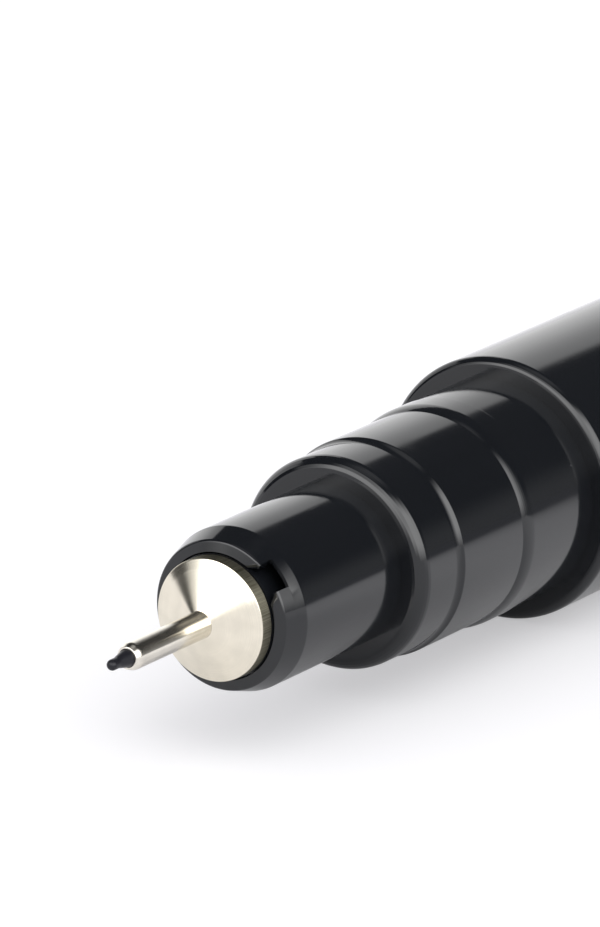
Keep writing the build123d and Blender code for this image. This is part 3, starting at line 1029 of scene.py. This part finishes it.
@dataclass
class Cap:
    """Cap tube with its inner seal, the crown that closes it and the spring clip under the crown."""

    lip_round: float = 0.4
    lead: float = 0.25
    bore: float = 4.7
    end_wall: float = 1.4
    end_round: float = 0.3
    seat: float = 4.35
    core: float = 3.45
    stem: float = 2.02
    seal_floor: float = 1.0
    seal_lead: float = 0.4
    seal_bore: float = 3.37
    seal_round: float = 0.2
    crown_rim: float = 0.7
    crown_slope: float = 1.9
    crown_round: float = 0.5
    crown_top_round: float = 1.6
    barb: float = 0.3
    barb_length: float = 0.8
    stem_fit: float = 0.02
    clip_thickness: float = 0.45
    clip_gap: float = 1.05
    clip_touch: float = 0.12
    clip_reach: float = 31.0
    clip_bend: float = 0.9
    clip_foot_bend: float = 5.0
    clip_lead: float = 3.0
    clip_rise: float = 0.75
    clip_root_width: float = 3.6
    clip_tip_width: float = 2.6
    clip_tip_corner: float = 1.0
    clip_edge: float = 0.09
    clip_edge_steps: int = 3
    clip_sharp: float = 50.0
    table_gap: float = 0.02

    def __post_init__(self) -> None:
        """Reads where the cap's solids lie."""
        self.shell_span = Extent.of("cap_shell")
        self.seal_span = Extent.of("cap_inner_seal")
        self.crown_span = Extent.of("cap_crown")
        self.wall_front = self.shell_span.back - self.end_wall

    def shell(self) -> Item:
        """Returns the cap's tube: chamfered mouth, bore, seat for the seal and an end wall."""
        span = self.shell_span
        corners = [
            Corner(span.front, self.bore + self.lead),
            Corner(span.front, span.radius, self.lip_round),
            Corner(span.back, span.radius, self.end_round),
            Corner(span.back, self.stem),
            Corner(self.wall_front, self.stem),
            Corner(self.wall_front, self.core),
            Corner(self.seal_span.back, self.core),
            Corner(self.seal_span.back, self.seat),
            Corner(self.seal_span.front, self.seat),
            Corner(self.seal_span.front, self.bore),
            Corner(span.front + self.lead, self.bore, self.seal_round),
        ]
        return make_object("cap_tube", turned(corners))

    def seal(self) -> Item:
        """Returns the soft cup in the cap."""
        span = self.seal_span
        corners = [
            Corner(span.back - self.seal_floor, 0),
            Corner(span.back - self.seal_floor, self.seal_bore, self.seal_round),
            Corner(span.front + self.seal_lead, self.seal_bore, self.seal_round),
            Corner(span.front, self.seal_bore + self.seal_lead, self.seal_round / 2),
            Corner(span.front, span.radius, self.seal_round / 2),
            Corner(span.back, span.radius, self.seal_round),
            Corner(span.back, 0),
        ]
        return make_object("seal_cup", turned(corners, closed=False))

    def crown(self) -> Item:
        """Returns the button that closes the cap, with its snap stem."""
        span = self.crown_span
        clip_back = self.shell_span.back + self.clip_thickness
        barb_back = span.front + self.barb_length
        stem = self.stem - self.stem_fit
        corners = [
            Corner(span.back, 0),
            Corner(span.back, span.radius - self.crown_slope, self.crown_top_round),
            Corner(clip_back + self.crown_rim, span.radius, self.crown_round),
            Corner(clip_back, span.radius),
            Corner(clip_back, stem),
            Corner(barb_back, stem),
            Corner(barb_back, stem + self.barb),
            Corner(span.front, stem),
            Corner(span.front, 0),
        ]
        return make_object("cap_button", turned(corners, closed=False))

    def clip_roll(self) -> float:
        """Returns the angle about the axis, from +Y, at which the clip's root corner just meets the table."""
        radius = self.shell_span.radius
        reach = radius + self.clip_gap + self.clip_thickness
        half = self.clip_root_width / 2
        turn = math.atan2(half, reach) + math.acos((radius - self.table_gap) / math.hypot(reach, half))
        return DOWN - turn

    def clip_strip(self) -> Mesh:
        """Returns the clip's bent strip, drawn above +Y and turned to its place by the caller."""
        radius = self.shell_span.radius
        half_thick = self.clip_thickness / 2
        middle = self.shell_span.back + half_thick
        foot_x = self.shell_span.back - self.clip_reach
        foot = radius + self.clip_touch + half_thick
        tip_x = foot_x - self.clip_lead
        path = [
            Corner(middle, (self.stem + self.crown_span.radius) / 2),
            Corner(middle, radius + self.clip_gap + half_thick, self.clip_bend),
            Corner(foot_x, foot, self.clip_foot_bend),
            Corner(tip_x, foot + self.clip_rise),
        ]
        bm = drawn(path, closed=False, aside=-self.clip_root_width / 2)
        grown = bmesh.ops.extrude_edge_only(bm, edges=bm.edges[:])["geom"]
        moved = [item for item in grown if isinstance(item, bmesh.types.BMVert)]
        bmesh.ops.translate(bm, verts=moved, vec=(0, 0, self.clip_root_width * MM))
        self.taper(bm, tip_x)
        bmesh.ops.recalc_face_normals(bm, faces=bm.faces)
        bmesh.ops.solidify(bm, geom=bm.faces[:], thickness=self.clip_thickness * MM)
        return bm

    def taper(self, bm: Mesh, tip_x: float) -> None:
        """Narrows the strip towards its tip and rounds the tip's corners.

        Args:
            bm: the flat strip.
            tip_x: place of the tip along the axis.
        """
        root_x = self.shell_span.back + self.clip_thickness
        for vert in bm.verts:
            share = (root_x - vert.co.x / MM) / (root_x - tip_x)
            width = self.clip_root_width + (self.clip_tip_width - self.clip_root_width) * share
            vert.co.z *= width / self.clip_root_width
        tips = [vert for vert in bm.verts if abs(vert.co.x / MM - tip_x) < TINY]
        bevel(bm, tips, self.clip_tip_corner * MM)

    def clip(self) -> Item:
        """Returns the stamped clip: its strip, with softened edges, and the ring under the crown."""
        bm = self.clip_strip()
        sharp = [edge for edge in bm.edges if edge.calc_face_angle(0) > math.radians(self.clip_sharp)]
        bevel(bm, sharp, self.clip_edge * MM, "EDGES", self.clip_edge_steps)
        weld(bm)
        roll = Matrix.Rotation(self.clip_roll(), 3, "X")
        bmesh.ops.rotate(bm, verts=bm.verts, cent=ORIGIN, matrix=roll)
        front, rim = self.shell_span.back, self.crown_span.radius
        back = front + self.clip_thickness
        ring = turned(
            [
                Corner(front, self.stem),
                Corner(front, rim, self.clip_edge),
                Corner(back, rim, self.clip_edge),
                Corner(back, self.stem),
            ]
        )
        spare = bpy.data.meshes.new("clip_ring")
        ring.to_mesh(spare)
        ring.free()
        bm.from_mesh(spare)
        bpy.data.meshes.remove(spare)
        return make_object("spring_clip", bm)

    def build(self) -> list[Piece]:
        """Returns the cap's four pieces."""
        return [
            Piece(self.shell(), "cap_shell", CAP_FINISH, "cap_plastic", Body.CAP),
            Piece(self.seal(), "cap_inner_seal", SEAL_FINISH, "seal_plastic", Body.CAP),
            Piece(self.crown(), "cap_crown", CAP_FINISH, "cap_plastic", Body.CAP),
            Piece(self.clip(), "cap_clip", CLIP_FINISH, "clip_steel", Body.CAP),
        ]


def dress_inner_solids() -> None:
    """Gives the ink reservoir's solids, which stay as they are inside the barrel, their own finishes."""
    for node, finish in (("reservoir_core", FIBRE_FINISH), ("reservoir_wrap", FILM_FINISH)):
        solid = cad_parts[node]
        solid.data.materials.clear()
        solid.data.materials.append(finish.material())
        LOG.info("%s keeps its solid", node)


# The studio


@dataclass(frozen=True)
class Panel:
    """A bright part of the surround that gloss picks up: directions in degrees from the pen, and a strength.

    Its sides are soft by the edge, and its bottom and top by the fade, both in degrees.
    """

    azimuth: float
    half_width: float
    low: float
    high: float
    strength: float
    edge: float
    fade: float

    def angles(self) -> dict[str, float]:
        """Returns the panel's angles in radians, by the names of the effect's inputs."""
        names = ("azimuth", "half_width", "low", "high", "edge", "fade")
        return {name.replace("_", " ").title(): math.radians(getattr(self, name)) for name in names}


@dataclass
class Studio:
    """White table, soft light and the camera.

    The table's lit parts end at places along or across the pen, each given with how soft it is to both sides.
    """

    camera_place: Place = (-289.48, -155.91, 90.29)
    azimuth: float = -56.0
    elevation: float = 17.06
    focal_pixels: float = 7500.0
    image_height: float = 927.0
    sensor: float = 36.0
    nearest: float = 10.0
    table_half: float = 6.0
    table_white: float = 0.86
    table_seen: float = 0.56
    table_lift: float = 0.44
    table_tint: Colour = (0.985, 0.98, 1.0)
    # Painted light and shade that only gloss sees on the table: a dim colour outside its lit parts and a glow
    # inside them.
    table_dim: Colour = (0.2, 0.2, 0.205)
    table_painted_glow: float = 0.24
    table_rear: Pair = (-44.0, 8.0)
    table_slant: float = 0.45
    table_ahead: Pair = (-18.0, 20.0)
    table_near: Pair = (-14.0, 6.0)
    backdrop: Colour = (1.0, 1.0, 1.0)
    ambient: Colour = (0.99, 0.985, 1.02)
    key_azimuth: float = -95.0
    key_elevation: float = 58.0
    key_angle: float = 60.0
    key_strength: float = 0.75
    gloss_floor: float = 0.04
    panels: tuple[Panel, ...] = (
        Panel(60.0, 48.0, -80.0, 31.6, 0.98, 3.0, 1.0),
        Panel(60.0, 48.0, -80.0, 22.0, 0.38, 3.0, 8.0),
        Panel(139.0, 11.0, 0.0, 32.0, 0.8, 2.5, 6.0),
        Panel(172.5, 30.0, 5.3, 46.0, 4.1, 12.0, 14.0),
        Panel(-112.0, 42.0, 4.0, 50.0, 4.3, 18.0, 12.0),
        Panel(-36.0, 25.0, -8.0, 12.0, 0.2, 10.0, 8.0),
        Panel(0.0, 200.0, 72.0, 120.0, 0.45, 8.0, 8.0),
    )

    def camera(self) -> None:
        """Places the camera where the photograph was taken from."""
        data = bpy.data.cameras.new("view_camera")
        data.sensor_fit = "VERTICAL"
        data.sensor_height = self.sensor
        data.lens = self.focal_pixels * self.sensor / self.image_height
        data.clip_start = self.nearest * MM
        camera = bpy.data.objects.new("view_camera", data)
        turn = Matrix.Rotation(math.radians(self.azimuth), 4, "Z")
        tilt = Matrix.Rotation(math.radians(90 - self.elevation), 4, "X")
        place = Matrix.Translation(Vector(self.camera_place) * MM)
        camera.matrix_world = place @ turn @ tilt
        bpy.context.scene.collection.objects.link(camera)
        bpy.context.scene.camera = camera

    def table(self) -> None:
        """Lays the table's white top under the pen; gloss sees painted shade on it outside its lit parts and
        a painted glow inside them.
        """
        bm = bmesh.new()
        bmesh.ops.create_grid(bm, x_segments=1, y_segments=1, size=self.table_half)
        bmesh.ops.translate(bm, verts=bm.verts, vec=(0, 0, CAD_BOX[0][2]))
        top = make_object("table_top", bm)
        paint = Paint("table_white")
        ray = paint.add("ShaderNodeLightPath").outputs
        along, across = paint.split(paint.place)[:2]
        slant = paint.math("MULTIPLY_ADD", paint.math("ABSOLUTE", across), -self.table_slant, along)
        edges = (self.table_ahead, self.table_near, self.table_rear)
        ahead, near, rear = ((middle * MM, soft * MM) for middle, soft in edges)
        front, side = paint.step(slant, 1.0, 0.0, *ahead), paint.step(across, 0.0, 1.0, *near)
        lit = paint.math("MAXIMUM", side, front)
        # Painted light for gloss: painted dim shade outside the table's lit parts, and a painted glow where
        # it is lit behind the barrel's face.
        unlit = paint.math("MULTIPLY", ray["Is Glossy Ray"], paint.math("SUBTRACT", 1.0, lit))
        white, shown = ((level, level, level, 1.0) for level in (self.table_white, self.table_seen))
        plain = paint.blend(ray["Is Camera Ray"], white, shown)
        seen = paint.math("MULTIPLY", ray["Is Camera Ray"], self.table_lift)
        behind = paint.step(along, 0.0, self.table_painted_glow, *rear)
        painted_glow = paint.math("MULTIPLY", paint.math("MULTIPLY", ray["Is Glossy Ray"], lit), behind)
        paint.set(
            {
                "Base Color": paint.blend(unlit, plain, (*self.table_dim, 1.0)),
                "Roughness": 1.0,
                "Specular IOR Level": 0.0,
                "Emission Color": (*self.table_tint, 1.0),
                "Emission Strength": paint.math("ADD", seen, painted_glow),
            }
        )
        top.data.materials.append(paint.material)

    def world(self) -> None:
        """Builds the surround: white for the camera, panels for gloss and an even light for the rest."""
        world = bpy.data.worlds.new("studio")
        bpy.context.scene.world = world
        world.use_nodes = True
        graph = Graph(world.node_tree)
        ray = graph.add("ShaderNodeLightPath").outputs
        toward = graph.add("ShaderNodeTexCoord").outputs["Generated"]
        level = self.gloss_floor
        for panel in self.panels:
            window = EFFECTS.place(graph, Effect.LIGHT_PANEL, {"Place": toward, **panel.angles()})
            level = graph.math("ADD", level, graph.math("MULTIPLY", window["Mask"], panel.strength))
        gloss = graph.add("ShaderNodeCombineXYZ", {0: level, 1: level, 2: level}).outputs[0]
        plain = graph.blend(ray["Is Glossy Ray"], (*self.ambient, 1.0), gloss)
        colour = graph.blend(ray["Is Camera Ray"], plain, (*self.backdrop, 1.0))
        graph.feed(world.node_tree.nodes["Background"].inputs["Color"], colour)

    def key_lamp(self) -> None:
        """Hangs the soft key light at the camera's right; it throws the shadow, and gloss doesn't see it."""
        data = bpy.data.lights.new("key_light", "SUN")
        data.energy = self.key_strength
        data.angle = math.radians(self.key_angle)
        lamp = bpy.data.objects.new("key_light", data)
        lamp.visible_glossy = False
        azimuth, elevation = math.radians(self.key_azimuth), math.radians(self.key_elevation)
        level = math.cos(elevation)
        toward = Vector((math.cos(azimuth) * level, math.sin(azimuth) * level, math.sin(elevation)))
        lamp.matrix_world = toward.to_track_quat("Z", "Y").to_matrix().to_4x4()
        bpy.context.scene.collection.objects.link(lamp)

    def build(self) -> None:
        """Sets up the whole studio."""
        bpy.context.scene.view_settings.view_transform = "Standard"
        self.camera()
        self.table()
        self.world()
        self.key_lamp()


def main() -> None:
    """Builds the studio and the pen's sub-assemblies in order, and reports each piece."""
    logging.basicConfig(level=logging.INFO, format="%(name)s: %(message)s")
    Studio().build()
    for assembly in (NibUnit(), Nose(), Barrel(), Cap()):
        for piece in assembly.build():
            piece.seat()
    dress_inner_solids()


if __name__ == "__main__":
    main()
